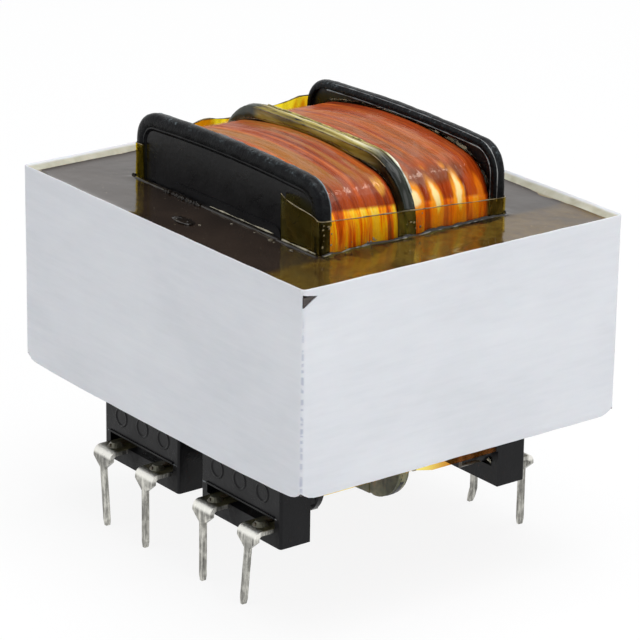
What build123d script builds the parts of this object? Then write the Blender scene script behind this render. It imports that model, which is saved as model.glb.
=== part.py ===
from build123d import *
import os
from math import cos, radians, sin

# Isolation transformer for a printed circuit board, in millimetres.
# +Z is up, X runs along the core's long side and Y along the coil's axis.
# The origin is the middle of the base, at the level of the pin tips.

# Laminated core, of stamped E and I sheets laid in alternate directions
leg_width = 15.875
window_width = 7.94
window_length = 23.81
rim_width = 7.94
sheet_pitch = 0.5
sheet_gap = 0.01
sheet_count = 40
joint_gap = 0.02

# Terminal pins, bent from tinned sheet
pin_overhang = 2.23
outer_pin_span = 25.4
inner_pin_span = 10.16
pin_thickness = 0.5
pin_width = 0.66
head_width = 3.05
head_length = 0.25
shoulder_length = 1.0
point_length = 0.6
point_width = 0.35
bend_radius = 0.85
tab_engagement = 3.3
bent_tip_length = 1.5
bent_tip_angle = 18
first_pin_lean = 0.6
fourth_pin_lean = -0.7

# Terminal blocks moulded on the bobbin
seat_height = 6.44
tab_rise = 1.46
block_height = 9.55
block_thickness = 3.67
block_row_length = 30.72
block_gap = 3.96
block_step = 0.53
block_edge_radius = 0.3
web_height = 5.6
slot_height = 1.05
slot_end_wall = 1.0
slot_lip = 0.2
slot_lip_relief = 0.15
tab_play = 0.04
gate_width = 2.6
gate_height = 2.6

# Bobbin tube and flanges
core_clearance = 0.1
tube_clearance = 0.15
tube_wall = 1.1
tube_corner = 0.8
flange_thickness = 1.3
flange_end_clearance = 0.305
flange_side_clearance = 0.25
flange_reach = 7.81
flange_corner = 3.2
flange_crown = 0.55
flange_edge_chamfer = 0.35
rim_line = 0.7
rim_depth = 0.35
face_rim_line = 1.4
face_rim_depth = 0.2
divider_thickness = 1.2
divider_offset = -0.3
divider_inset = 0.2
divider_top_reach = 17.6
divider_bottom_reach = 19.05
divider_corner = 4.2
divider_top_corner = 6.5

# Windings and their clear wraps
coil_clearance = 0.05
wrap_thickness = 0.12
coil_side_margin = 0.76
coil_top_margin = 0.9
coil_crown = 1.9
coil_side_bulge = 0.3
coil_corner = 4.6
ridge_height = 0.28
groove_width = 0.5
primary_ridges = 3
secondary_ridges = 1

# Amber slot films, folded round the ends of the coil
film_thickness = 0.12
film_gap = 0.06
film_hang = 4.95
film_fold_radius = 0.3
right_film_front_rise = 3.7
right_film_rear_rise = 1.9
right_film_flap_rise = 4.7
right_film_flap = 6.5
left_film_front_rise = 4.0
left_film_rear_rise = 5.2
left_film_flap_rise = 4.0
left_film_flap = 1.7
rear_flap = 6.5

# White tape band round the core
tape_thickness = 0.18
tape_play = 0.02
tape_top_stand = 0.79
tape_bottom_stand = 0.54
tape_lip = 1.4
tape_corner = 0.5
lip_clearance = 0.06
slit_length = 2.1
slit_depth = 1.7
slit_drop = 0.45

# Leads and solder
lead_diameter = 0.35
lead_inset = 0.95
lead_end_gap = 0.1
solder_radius = 0.85
solder_height = 0.45
solder_slope = 40
solder_offset = 0.5
small_sides = 8

# Sizes that follow from the ones above
core_length = leg_width + 2 * window_width + 2 * rim_width
core_depth = window_length + 2 * rim_width
stack_height = sheet_pitch * sheet_count
stack_bottom = seat_height + block_height + core_clearance
stack_top = stack_bottom + stack_height
stack_middle = stack_bottom + stack_height / 2

tube_half_width = leg_width / 2 + tube_clearance
tube_half_height = stack_height / 2 + tube_clearance
flange_face = window_length / 2 - flange_end_clearance
flange_inner_face = flange_face - flange_thickness
flange_panel_face = flange_inner_face + rim_depth
flange_half_width = leg_width / 2 + window_width - flange_side_clearance
flange_half_height = stack_height / 2 + flange_reach
divider_front = divider_offset - divider_thickness / 2
divider_rear = divider_offset + divider_thickness / 2

block_inner_face = flange_face + block_step
block_face = block_inner_face + block_thickness
block_end = block_row_length / 2
tab_bottom = seat_height + tab_rise
tab_top = tab_bottom + pin_thickness
slot_top = tab_top + slot_height
tab_start = block_face - tab_engagement
pin_face = block_face + pin_overhang
pin_columns = (-outer_pin_span / 2, -inner_pin_span / 2, inner_pin_span / 2, outer_pin_span / 2)

coil_half_width = flange_half_width - coil_side_margin - wrap_thickness - ridge_height
coil_half_height = flange_half_height - coil_top_margin - wrap_thickness - ridge_height
pin_count = 2 * len(pin_columns)
bent_pin = 6
leans = {1: first_pin_lean, 4: fourth_pin_lean}


def block(x_low, x_high, y_low, y_high, z_low, z_high):
    """Box between the given limits."""
    middle = Pos((x_low + x_high) / 2, (y_low + y_high) / 2, (z_low + z_high) / 2)
    return middle * Box(x_high - x_low, y_high - y_low, z_high - z_low)


def slab(outline, y_low, y_high):
    """Solid of an outline drawn in the XZ plane, between two places along Y."""
    return Pos(0, y_high, 0) * extrude(Plane.XZ * outline, amount=y_high - y_low)


def save(name, *solids):
    """Write the solids of one piece to its file."""
    piece = solids[0] if len(solids) == 1 else Compound(children=list(solids))
    piece.label = name
    export_step(piece, f"parts/{name}.step")


# Core

def e_sheet():
    """One E with its yoke towards -Y."""
    length = window_length + rim_width
    outline = Pos(0, -rim_width / 2) * Rectangle(core_length, length)
    window_place = leg_width / 2 + window_width / 2
    for side in (-1, 1):
        outline -= Pos(side * window_place, 0) * Rectangle(window_width, window_length)
    return outline


def i_sheet():
    """The I that closes the E, towards +Y."""
    width = rim_width - joint_gap
    return Pos(0, core_depth / 2 - width / 2) * Rectangle(core_length, width)


def stack(outline):
    """All sheets of one kind, turned over one by one."""
    sheets = []
    for index in range(sheet_count):
        sheet = extrude(outline, amount=sheet_pitch - sheet_gap)
        if index % 2:
            sheet = mirror(sheet, about=Plane.XZ)
        sheets.append(Pos(0, 0, stack_bottom + index * sheet_pitch) * sheet)
    return sheets


# Bobbin

def crowned_outline(half_width, half_height, side_crown, end_crown, corner, top_corner=None):
    """Outline centred on the stack, with crowned ends, rounded corners and bulged or straight sides."""
    x = half_width - side_crown
    z = half_height - end_crown
    if side_crown:
        right = ThreePointArc((x, z), (half_width, 0), (x, -z))
        left = ThreePointArc((-x, -z), (-half_width, 0), (-x, z))
    else:
        right = Line((x, z), (x, -z))
        left = Line((-x, -z), (-x, z))
    top = ThreePointArc((-x, z), (0, half_height), (x, z))
    bottom = ThreePointArc((x, -z), (0, -half_height), (-x, -z))
    outline = make_face([top, right, bottom, left])
    if top_corner:
        outline = fillet(outline.vertices().sort_by(Axis.Y)[-2:], radius=top_corner)
        return Pos(0, stack_middle) * fillet(outline.vertices().sort_by(Axis.Y)[:2], radius=corner)
    return Pos(0, stack_middle) * fillet(outline.vertices(), radius=corner)


def flange_outline(inset=0.0):
    """Outline of an end flange, smaller all round by the inset."""
    return crowned_outline(
        flange_half_width - inset, flange_half_height - inset, 0, flange_crown, flange_corner - inset
    )


def divider_outline():
    """Outline of the divider, which reaches further down than the end flanges."""
    half_height = (divider_top_reach + divider_bottom_reach) / 2
    drop = (divider_bottom_reach - divider_top_reach) / 2
    return Pos(0, -drop) * crowned_outline(
        flange_half_width - divider_inset, half_height, 0, flange_crown, divider_corner, divider_top_corner
    )


def eased_rim(flange):
    """Take the sharp edges off a flange's rim."""
    faces = flange.faces().filter_by(Axis.Y)
    edges = faces[0].outer_wire().edges() + faces[-1].outer_wire().edges()
    return chamfer(edges, length=min(flange_edge_chamfer, divider_thickness / 2.5))


def end_flange():
    """Rear flange, with a raised rim round its inner face and round its outer face above the core."""
    flange = eased_rim(slab(flange_outline(), flange_inner_face, flange_face))
    panel = slab(flange_outline(inset=rim_line), flange_inner_face, flange_panel_face)
    face_panel = slab(flange_outline(inset=face_rim_line), flange_face - face_rim_depth, flange_face)
    face_panel &= block(
        -flange_half_width, flange_half_width, flange_face - face_rim_depth, flange_face,
        stack_top + core_clearance, stack_top + flange_reach,
    )
    return flange - panel - face_panel


def divider():
    """Flange between the two windings."""
    return eased_rim(slab(divider_outline(), divider_front, divider_rear))


def terminal_block():
    """Block for two pins, at +X and +Y, without its slot."""
    x_low = block_gap / 2
    top = seat_height + block_height
    body = block(x_low, block_end, block_inner_face, block_face, seat_height, top)
    upright = body.edges().filter_by(Axis.Z).sort_by(Axis.Y)[-2:]
    body = fillet(upright, radius=block_edge_radius)
    web = block(x_low, block_end, flange_face, block_inner_face, top - web_height, top)
    lip = block(
        x_low + slot_end_wall, block_end - slot_end_wall,
        block_face, block_face + slot_lip_relief, slot_top, slot_top + slot_lip,
    )
    return body + web + lip


def lead_slot():
    """Opening through block and flange for the leads of two pins."""
    return block(
        block_gap / 2 + slot_end_wall, block_end - slot_end_wall,
        flange_inner_face - rim_depth, block_face + pin_thickness, tab_top, slot_top,
    )


def tab_pocket(column):
    """Seat of one pin's tab in the floor of the slot."""
    half = head_width / 2 + tab_play
    return block(
        column - half, column + half,
        tab_start - tab_play, block_face + pin_thickness, tab_bottom, tab_top,
    )


def bobbin():
    """Tube, flanges, divider and four terminal blocks, moulded in one piece."""
    tube_outer = RectangleRounded(
        2 * (tube_half_width + tube_wall), 2 * (tube_half_height + tube_wall), tube_corner
    )
    bore = Rectangle(2 * tube_half_width, 2 * tube_half_height)
    height = Pos(0, stack_middle)
    body = slab(height * tube_outer, -flange_face, flange_face)

    corner = terminal_block() - lead_slot()
    for column in pin_columns[2:]:
        corner -= tab_pocket(column)
    half = end_flange() + corner + mirror(corner, about=Plane.YZ)
    gate_bottom = stack_middle - flange_half_height
    half -= block(
        -gate_width / 2, gate_width / 2,
        flange_inner_face - rim_depth, flange_face, gate_bottom, gate_bottom + gate_height,
    )
    half = half - lead_slot() - mirror(lead_slot(), about=Plane.YZ)

    body = body + half + mirror(half, about=Plane.XZ) + divider()
    return body - slab(height * bore, -flange_face, flange_face)


# Windings

def coil_outline(grow):
    """Crowned outline of the coil, grown by the given amount."""
    return crowned_outline(
        coil_half_width + grow, coil_half_height + grow,
        coil_side_bulge, coil_crown, coil_corner + grow,
    )


def tube_space(y_low, y_high):
    """Room that a winding leaves for the tube."""
    wall = tube_wall + coil_clearance
    outline = RectangleRounded(
        2 * (tube_half_width + wall), 2 * (tube_half_height + wall), tube_corner + coil_clearance
    )
    return slab(Pos(0, stack_middle) * outline, y_low, y_high)


def winding(y_low, y_high, ridges):
    """One winding: a ring of wire, its outer layers wound in raised bands."""
    pitch = (y_high - y_low + groove_width) / ridges
    ring = slab(coil_outline(0), y_low, y_high)
    for index in range(ridges):
        start = y_low + index * pitch
        ring += slab(coil_outline(ridge_height), start, start + pitch - groove_width)
    return ring - tube_space(y_low, y_high)


def wrap(y_low, y_high):
    """Clear wrap drawn tight over the ridges of a winding."""
    inner = slab(coil_outline(ridge_height), y_low, y_high)
    return slab(coil_outline(ridge_height + wrap_thickness), y_low, y_high) - inner


# Films

def slot_film(front_rise, rear_rise, flap_rise, front_flap):
    """U-shaped film on the +X side, its top edge sloped from front to rear."""
    inner_x = flange_half_width + film_gap
    inner_y = flange_face + film_gap
    outer_x = inner_x + film_thickness
    outer_y = inner_y + film_thickness
    top = stack_top + max(front_rise, rear_rise, flap_rise)
    bottom = stack_bottom - film_hang
    start_x = outer_x - max(front_flap, rear_flap)

    sheet = block(start_x, outer_x, -outer_y, outer_y, bottom, top)
    folds = sheet.edges().filter_by(Axis.Z).sort_by(Axis.X)[-2:]
    sheet = fillet(folds, radius=film_fold_radius)
    room = block(start_x, inner_x, -inner_y, inner_y, bottom, top)
    hollow_folds = room.edges().filter_by(Axis.Z).sort_by(Axis.X)[-2:]
    sheet -= fillet(hollow_folds, radius=film_fold_radius - film_thickness)

    if front_flap < rear_flap:
        sheet -= block(start_x, outer_x - front_flap, -outer_y, 0, bottom, top)
    if rear_flap < front_flap:
        sheet -= block(start_x, outer_x - rear_flap, 0, outer_y, bottom, top)

    flap_bottom = stack_bottom + film_gap
    for side in (-1, 1):
        y_low, y_high = sorted((side * inner_y, side * (outer_y + film_gap)))
        sheet -= block(start_x, inner_x, y_low, y_high, bottom, flap_bottom)

    side_top = Polyline(
        (-inner_y, stack_top + front_rise), (outer_y, stack_top + rear_rise),
        (outer_y, top + film_gap), (-inner_y, top + film_gap), close=True,
    )
    flap_top = Polyline(
        (outer_x - front_flap, stack_top + flap_rise), (outer_x, stack_top + front_rise),
        (outer_x, top + film_gap), (outer_x - front_flap, top + film_gap), close=True,
    )
    sheet -= extrude(Plane.YZ * make_face(side_top), amount=outer_x)
    return sheet - slab(make_face(flap_top), -outer_y, -inner_y)


# Tape band

def tape_funnel(level, drop):
    """Space above a lip that slopes from the band's edge down to the core."""
    length = core_length + 2 * (tape_play + tape_thickness)
    depth = core_depth + 2 * (tape_play + tape_thickness)
    rim = Pos(0, 0, level) * Rectangle(length, depth)
    mouth = Pos(0, 0, level - drop) * Rectangle(length - 2 * tape_lip, depth - 2 * tape_lip)
    return loft([mouth.face(), rim.face()])


def folded_lip(level, drop):
    """Lip of tape folded inwards at the top of the band."""
    half_x = core_length / 2 + tape_play + tape_thickness
    half_y = core_depth / 2 + tape_play + tape_thickness
    edge = block(-half_x, half_x, -half_y, half_y, level - tape_thickness, level)
    lip = edge + tape_funnel(level - tape_thickness, drop) - tape_funnel(level, drop)
    return lip - block(
        tape_lip - half_x, half_x - tape_lip, tape_lip - half_y, half_y - tape_lip,
        level - drop - tape_thickness, level,
    )


def core_band():
    """Tape wrapped round the core, folded over its top and bottom edges."""
    top = stack_top + tape_top_stand
    bottom = stack_bottom - tape_bottom_stand
    inner_x = core_length / 2 + tape_play
    inner_y = core_depth / 2 + tape_play
    outer_x = inner_x + tape_thickness
    outer_y = inner_y + tape_thickness
    wall = block(-outer_x, outer_x, -outer_y, outer_y, bottom, top)
    wall -= block(-inner_x, inner_x, -inner_y, inner_y, bottom, top)

    top_drop = tape_top_stand - tape_thickness - lip_clearance
    bottom_drop = tape_bottom_stand - tape_thickness - lip_clearance
    lower_lip = mirror(folded_lip(-bottom, bottom_drop), about=Plane.XY)
    band = wall + folded_lip(top, top_drop) + lower_lip

    corner = min(tape_corner, 2.5 * (tape_thickness + tape_play))
    rounded = Pos(0, 0, bottom) * RectangleRounded(2 * outer_x, 2 * outer_y, corner)
    band = band & extrude(rounded, amount=top - bottom)

    slit = Polyline(
        (-outer_y, top - slit_drop), (slit_length - outer_y, top - slit_drop),
        (-outer_y, top - slit_drop - slit_depth), close=True,
    )
    torn = extrude(Plane.YZ * make_face(slit), amount=outer_x + tape_play)
    return band - (torn - block(0, inner_x - tape_play, -outer_y, outer_y, bottom, top))


# Pins, leads and solder

def pin_side_profile(tip_angle):
    """Outline of a pin seen from its side, Y across and Z up."""
    back = pin_face - pin_thickness
    if not tip_angle:
        return Polyline(
            (tab_start, tab_bottom), (back, tab_bottom), (back, 0), (pin_face, 0),
            (pin_face, tab_top), (tab_start, tab_top), close=True,
        )
    lean = bent_tip_length * sin(radians(tip_angle))
    tip = bent_tip_length * (1 - cos(radians(tip_angle)))
    return Polyline(
        (tab_start, tab_bottom), (back, tab_bottom), (back, bent_tip_length),
        (back - lean, tip), (pin_face - lean, tip), (pin_face, bent_tip_length),
        (pin_face, tab_top), (tab_start, tab_top), close=True,
    )


def pin_front_outline(lean):
    """Outline of a pin seen from the front: wide head, shoulders, leg and a point that may lean."""
    head = head_width / 2
    leg = pin_width / 2
    shoulder_top = tab_top - bend_radius - head_length
    shoulder_end = shoulder_top - shoulder_length
    low_shift = lean * (shoulder_end - point_length) / shoulder_end
    edge = [(head, tab_top, 0), (head, shoulder_top, 0), (leg, shoulder_end, 0)]
    edge += [(leg, point_length, low_shift), (point_width / 2, 0, lean)]
    right = [(shift + x, z) for x, z, shift in edge]
    left = [(shift - x, z) for x, z, shift in reversed(edge)]
    return make_face(Polyline(*right, *left, close=True))


def pin(column, tip_angle=0, lean=0):
    """Terminal pin of the rear row: a tab that turns down into a pointed leg."""
    profile = Plane.YZ * make_face(pin_side_profile(tip_angle))
    body = Pos(-head_width / 2, 0, 0) * extrude(profile, amount=head_width)
    bends = body.edges().filter_by(Axis.X)
    outer = bends.filter_by(lambda e: e.center().Y > pin_face - 0.01 and e.center().Z > tab_bottom)
    body = fillet(outer, radius=bend_radius)
    inner = body.edges().filter_by(Axis.X).filter_by(
        lambda e: abs(e.center().Z - tab_bottom) < 0.01 and e.center().Y > block_face
    )
    body = fillet(inner, radius=max(bend_radius - pin_thickness, 0.1))
    front = slab(pin_front_outline(lean), tab_start, pin_face)
    return Pos(column, 0, 0) * (body & front)


def lead(column):
    """Wire from the underside of the rear winding, through the slot, on to the tab."""
    level = tab_top + lead_diameter / 2
    start_y = flange_inner_face - lead_inset
    end_y = pin_face - bend_radius - lead_end_gap
    path = Polyline(
        (column, start_y, stack_middle - tube_half_height),
        (column, start_y, level),
        (column, end_y, level),
    )
    section = Plane(path @ 0, z_dir=path % 0) * RegularPolygon(
        lead_diameter / 2, small_sides, major_radius=False, rotation=180 / small_sides
    )
    wire = sweep(section, path=path, transition=Transition.RIGHT)
    return wire - slab(coil_outline(ridge_height + wrap_thickness), 0, flange_face)


def solder(column):
    """Low dome of solder that holds a lead to its tab."""
    outline = RegularPolygon(solder_radius, 2 * small_sides)
    dome = extrude(outline, amount=solder_height, taper=solder_slope)
    return Pos(column, block_face + solder_offset, tab_top) * dome - lead(column)


os.makedirs("parts", exist_ok=True)
save("e_laminations", *stack(e_sheet()))
save("i_laminations", *stack(i_sheet()))
save("bobbin", bobbin())
save("core_band", core_band())

front_coil = (coil_clearance - flange_panel_face, divider_front - coil_clearance)
rear_coil = (divider_rear + coil_clearance, flange_panel_face - coil_clearance)
save("primary_winding", winding(*front_coil, primary_ridges))
save("secondary_winding", winding(*rear_coil, secondary_ridges))
save("primary_wrap", wrap(*front_coil))
save("secondary_wrap", wrap(*rear_coil))

right_film = slot_film(
    right_film_front_rise, right_film_rear_rise, right_film_flap_rise, right_film_flap
)
left_film = slot_film(left_film_front_rise, left_film_rear_rise, left_film_flap_rise, left_film_flap)
save("slot_film_right", right_film)
save("slot_film_left", mirror(left_film, about=Plane.YZ))

# Pins 1 to 4 stand in the front row from left to right, pins 5 to 8 in the rear row
# from right to left.
for index, column in enumerate(pin_columns):
    number = index + 1
    save(f"pin_{number}", mirror(pin(column, lean=leans.get(number, 0)), about=Plane.XZ))
    save(f"lead_{number}", mirror(lead(column), about=Plane.XZ))
    save(f"solder_{number}", mirror(solder(column), about=Plane.XZ))

    number = pin_count - index
    tip_angle = bent_tip_angle if number == bent_pin else 0
    save(f"pin_{number}", pin(column, tip_angle))
    save(f"lead_{number}", lead(column))
    save(f"solder_{number}", solder(column))
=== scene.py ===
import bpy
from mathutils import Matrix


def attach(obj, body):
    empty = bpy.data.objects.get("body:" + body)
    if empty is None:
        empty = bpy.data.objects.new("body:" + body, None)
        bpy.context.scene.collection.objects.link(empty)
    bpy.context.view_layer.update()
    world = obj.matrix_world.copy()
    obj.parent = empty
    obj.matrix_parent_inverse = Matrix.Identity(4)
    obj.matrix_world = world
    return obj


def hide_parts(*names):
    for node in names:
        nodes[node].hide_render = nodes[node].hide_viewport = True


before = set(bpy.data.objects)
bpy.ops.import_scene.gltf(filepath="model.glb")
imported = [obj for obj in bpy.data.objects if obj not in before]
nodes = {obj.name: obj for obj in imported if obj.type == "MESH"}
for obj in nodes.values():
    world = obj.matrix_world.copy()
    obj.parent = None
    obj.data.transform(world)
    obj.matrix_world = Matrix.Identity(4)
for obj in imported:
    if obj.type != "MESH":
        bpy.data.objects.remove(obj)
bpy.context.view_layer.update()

import random
from math import atan2, copysign, cos, exp, floor, hypot, pi, radians, sin

import bmesh
import bpy
from mathutils import Matrix, Vector, noise

# Sizes are in millimetres and become metres where a mesh is made.
MM = 0.001

# Core, tape and coil, as the solids have them
CORE_TOP, CORE_MIDDLE = 36.09, 26.09
BAND_X, BAND_Y = 24.01, 20.04
BAND_BOTTOM, BAND_TOP = 15.56, 36.87
LIP_WIDTH = 1.4

# Outer outline of the coils: side arc, corner arc and crown arc, one quarter of it
SIDE_RADIUS, SIDE_REACH = 370.0, 14.75
CROWN_RADIUS, CROWN_REACH = 55.9, 16.79
CORNER_X, CORNER_Z, CORNER_RADIUS = 9.7, 10.98, 4.88
TUBE_X, TUBE_Z = 9.3, 11.35

FRONT_COIL = (-10.6, -0.95)
REAR_COIL = (0.35, 10.6)
# Level of the varnish on the core, and the faces that it meets
VARNISH_TOP = CORE_TOP + 0.12
FLANGE_FACE, FLAP_FACE, FILM_FACE = 11.66, 11.85, 15.88
# Outer face of the terminal blocks
BLOCK_FACE = 15.8

# Slot films: outer faces and folds in plan, flaps, and the height from which they stand free
FILM_X, FILM_Y, FILM_FOLD, FILM_REACH = 15.75, 11.72, 0.45, 11.7
WIDE_FLAP, NARROW_FLAP, FLAP_START = 5.9, 1.2, 9.4
FREE_FROM, FREE_HEIGHT = 36.4, 4.0


# Mesh helpers

def noise_at(x, y, z, scale, seed=0.0):
    """Smooth noise from -1 to 1."""
    return noise.noise(Vector((x * scale + seed, y * scale - seed * 0.7, z * scale + seed * 1.3)))


def add_object(name, data):
    """New object in the scene."""
    obj = bpy.data.objects.new(name, data)
    bpy.context.scene.collection.objects.link(obj)
    return obj


def make_object(name, points, faces):
    """Mesh object from points in millimetres."""
    mesh = bpy.data.meshes.new(name)
    mesh.from_pydata([Vector(p) * MM for p in points], [], faces)
    mesh.validate()
    return add_object(name, mesh)


def grid_faces(height, width, close_rows, close_columns, base=0):
    """Four-sided faces of a grid of points, numbered row by row from a base."""
    faces = []
    for i in range(height if close_rows else height - 1):
        for j in range(width if close_columns else width - 1):
            k, m = (i + 1) % height, (j + 1) % width
            faces.append([base + row * width + column for row, column in ((i, j), (i, m), (k, m), (k, j))])
    return faces


def grid_object(name, rows, close_rows=False, close_columns=False):
    """Mesh object from a grid of points."""
    faces = grid_faces(len(rows), len(rows[0]), close_rows, close_columns)
    return make_object(name, [p for row in rows for p in row], faces)


def smooth(obj, angle):
    """Smooth shading, with sharp edges above an angle."""
    obj.data.shade_smooth()
    obj.data.set_sharp_from_angle(angle=radians(angle))


def face_outward(obj):
    """Join points that coincide and turn all faces outward."""
    work = bmesh.new()
    work.from_mesh(obj.data)
    bmesh.ops.remove_doubles(work, verts=work.verts, dist=0.0005 * MM)
    bmesh.ops.recalc_face_normals(work, faces=work.faces)
    work.to_mesh(obj.data)
    work.free()


def finished(obj, angle=60.0):
    """Faces turned outward and smooth shading up to an angle; gives the object."""
    face_outward(obj)
    smooth(obj, angle)
    return obj


def thicken(obj, thickness, offset=0.0, even=True):
    """Give a sheet its thickness, in millimetres."""
    modifier = obj.modifiers.new("thickness", "SOLIDIFY")
    modifier.thickness = thickness * MM
    modifier.offset = offset
    modifier.use_even_offset = even
    graph = bpy.context.evaluated_depsgraph_get()
    graph.update()
    mesh = bpy.data.meshes.new_from_object(obj.evaluated_get(graph))
    obj.modifiers.clear()
    obj.data = mesh


def fill_ends(obj):
    """Close the open ends of a swept mesh."""
    work = bmesh.new()
    work.from_mesh(obj.data)
    bmesh.ops.holes_fill(work, edges=[e for e in work.edges if e.is_boundary], sides=0)
    work.to_mesh(obj.data)
    work.free()


def place(obj, material, slot, *replaced):
    """Finish a piece: its material, its body and what it stands for; the slot is not used."""
    obj.data.materials.clear()
    obj.data.materials.append(material)
    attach(obj, "root")
    if replaced:
        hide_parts(*replaced)
    return obj


# Node and material helpers

def filled(tree, made, inputs, output=0):
    """Fill a node's inputs, by link or by value, and give one of its outputs."""
    for key, value in inputs.items():
        socket = made.inputs[key]
        if isinstance(value, bpy.types.NodeSocket):
            tree.links.new(value, socket)
        elif socket.type == "RGBA":
            socket.default_value = (*value, 1.0)
        else:
            socket.default_value = value
    return made.outputs[output]


def add_node(tree, kind, inputs, output=0):
    """New node with filled inputs; gives one of its outputs."""
    return filled(tree, tree.nodes.new("ShaderNode" + kind), inputs, output)


def math_step(tree, kind, first, second, clamp=False):
    """One arithmetic step."""
    made = tree.nodes.new("ShaderNodeMath")
    made.operation = kind
    made.use_clamp = clamp
    return filled(tree, made, {0: first, 1: second})


class Shade:
    """A node material with a Principled shader."""

    def __init__(self, name, roughness=0.5, metallic=0.0, ior=1.5):
        self.material = bpy.data.materials.new(name)
        self.material.use_nodes = True
        self.tree = self.material.node_tree
        self.shader = self.tree.nodes["Principled BSDF"]
        self.coordinates = self.node("TexCoord", {}, "Object")
        self.set(Roughness=roughness, Metallic=metallic, IOR=ior)

    def node(self, kind, inputs, output=0):
        """New node with filled inputs; gives one of its outputs."""
        return add_node(self.tree, kind, inputs, output)

    def scaled(self, scale, offset=0.0):
        """Object coordinates times a scale per millimetre, moved by an offset."""
        return self.node("Mapping", {"Vector": self.coordinates, "Scale": tuple(s / MM for s in scale),
                                     "Location": (offset, offset * 1.7, offset * 0.6)})

    def noise(self, scale, detail=3.0, rough=0.55, distortion=0.0, offset=0.0):
        """Noise from 0 to 1, with one scale per millimetre or one along each axis."""
        if not isinstance(scale, tuple):
            scale = (scale, scale, scale)
        return self.node("TexNoise", {"Vector": self.scaled(scale, offset), "Scale": 1.0, "Detail": detail,
                                      "Roughness": rough, "Distortion": distortion}, "Fac")

    def axis(self, index):
        """One object coordinate, in millimetres."""
        return self.node("SeparateXYZ", {0: self.scaled((1, 1, 1))}, index)

    def times(self, first, second, clamp=False):
        """Product."""
        return math_step(self.tree, "MULTIPLY", first, second, clamp)

    def plus(self, first, second, clamp=False):
        """Sum."""
        return math_step(self.tree, "ADD", first, second, clamp)

    def minus(self, first, second):
        """Difference."""
        return math_step(self.tree, "SUBTRACT", first, second)

    def size(self, value):
        """Value without its sign."""
        return math_step(self.tree, "ABSOLUTE", value, 0.0)

    def span(self, value, low, high, to_low=0.0, to_high=1.0):
        """Value mapped from one range to another, clamped and eased."""
        made = self.tree.nodes.new("ShaderNodeMapRange")
        made.interpolation_type = "SMOOTHSTEP"
        return filled(self.tree, made, {"Value": value, "From Min": low, "From Max": high,
                                        "To Min": to_low, "To Max": to_high})

    def ramp(self, value, *stops):
        """Colour ramp through (place, colour) stops."""
        made = self.tree.nodes.new("ShaderNodeValToRGB")
        elements = made.color_ramp.elements
        while len(elements) < len(stops):
            elements.new(0.5)
        for element, (position, colour) in zip(elements, stops):
            element.position = position
            element.color = (*colour, 1.0)
        return filled(self.tree, made, {0: value})

    def blend(self, share, first, second):
        """Mix of two colours."""
        made = self.tree.nodes.new("ShaderNodeMix")
        made.data_type = "RGBA"
        return filled(self.tree, made, {"Factor": share, 6: first, 7: second}, 2)

    def bump(self, height, depth, strength, before=None):
        """Bump of a depth in millimetres, on top of another one where that is given."""
        inputs = {"Strength": strength, "Distance": depth * MM, "Height": height}
        if before is not None:
            inputs["Normal"] = before
        return self.node("Bump", inputs)

    def set(self, **inputs):
        """Fill inputs of the Principled shader."""
        filled(self.tree, self.shader, {key.replace("_", " "): value for key, value in inputs.items()})

    def see_through(self, tint, share):
        """Mix a tinted clear shader with the Principled one, which has the given share."""
        clear = self.node("BsdfTransparent", {"Color": tint})
        mixed = self.node("MixShader", {0: share, 1: clear, 2: self.shader.outputs[0]})
        self.tree.links.new(mixed, self.tree.nodes["Material Output"].inputs["Surface"])


def black_plastic():
    """Moulded bobbin plastic, satin, with a thin varnish on it."""
    s = Shade("bobbin_black", ior=1.35)
    grain = s.noise(1.6, 4.0, 0.6)
    cloud = s.noise(0.25, 3.0, 0.55, 0.6, 4.0)
    colour = s.ramp(cloud, (0.3, (0.003, 0.003, 0.004)), (0.7, (0.007, 0.007, 0.008)))
    s.set(Base_Color=colour, Roughness=s.span(cloud, 0.3, 0.7, 0.24, 0.42))
    s.set(Normal=s.bump(grain, 0.05, 0.6), Specular_IOR_Level=0.32)
    return s.material


def rim_plastic():
    """Rounded rims of the bobbin, under lumpy varnish with pale wisps that are lighter on upward faces as a
    painted sheen.
    """
    s = Shade("rim_black", ior=1.4)
    lump = s.noise(0.9, 4.0, 0.6, 0.4, 3.0)
    fine = s.noise(3.2, 4.0, 0.65, 0.3, 8.0)
    # Pale varnish wisps show only on faces that look upward: real wisps, lighter there as a painted sheen on
    # the rim's top.
    upward = s.span(s.node("SeparateXYZ", {0: s.node("NewGeometry", {}, "Normal")}, 2), 0.15, 0.6)
    dark = s.ramp(lump, (0.35, (0.003, 0.003, 0.004)), (0.65, (0.008, 0.009, 0.01)))
    pale = s.ramp(fine, (0.48, (0.008, 0.009, 0.01)), (0.62, (0.045, 0.055, 0.06)),
                  (0.74, (0.2, 0.24, 0.26)))
    s.set(Base_Color=s.blend(s.times(upward, s.span(lump, 0.46, 0.62)), dark, pale))
    s.set(Roughness=s.span(fine, 0.3, 0.7, 0.2, 0.42), Specular_IOR_Level=0.1)
    s.set(Normal=s.bump(lump, 0.12, 0.6, s.bump(fine, 0.06, 0.6)))
    return s.material


def core_steel():
    """Edges and faces of varnished silicon steel sheets."""
    s = Shade("core_steel", metallic=0.55)
    streak = s.noise((0.35, 0.35, 6.0), 4.0, 0.6)
    cloud = s.noise(0.3, 3.0, 0.5, 0.4, 7.0)
    colour = s.ramp(streak, (0.3, (0.022, 0.017, 0.015)), (0.7, (0.075, 0.062, 0.056)))
    s.set(Base_Color=colour, Roughness=s.span(cloud, 0.3, 0.7, 0.22, 0.48))
    s.set(Normal=s.bump(streak, 0.04, 0.5), Coat_Weight=0.5, Coat_Roughness=0.12)
    return s.material


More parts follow.
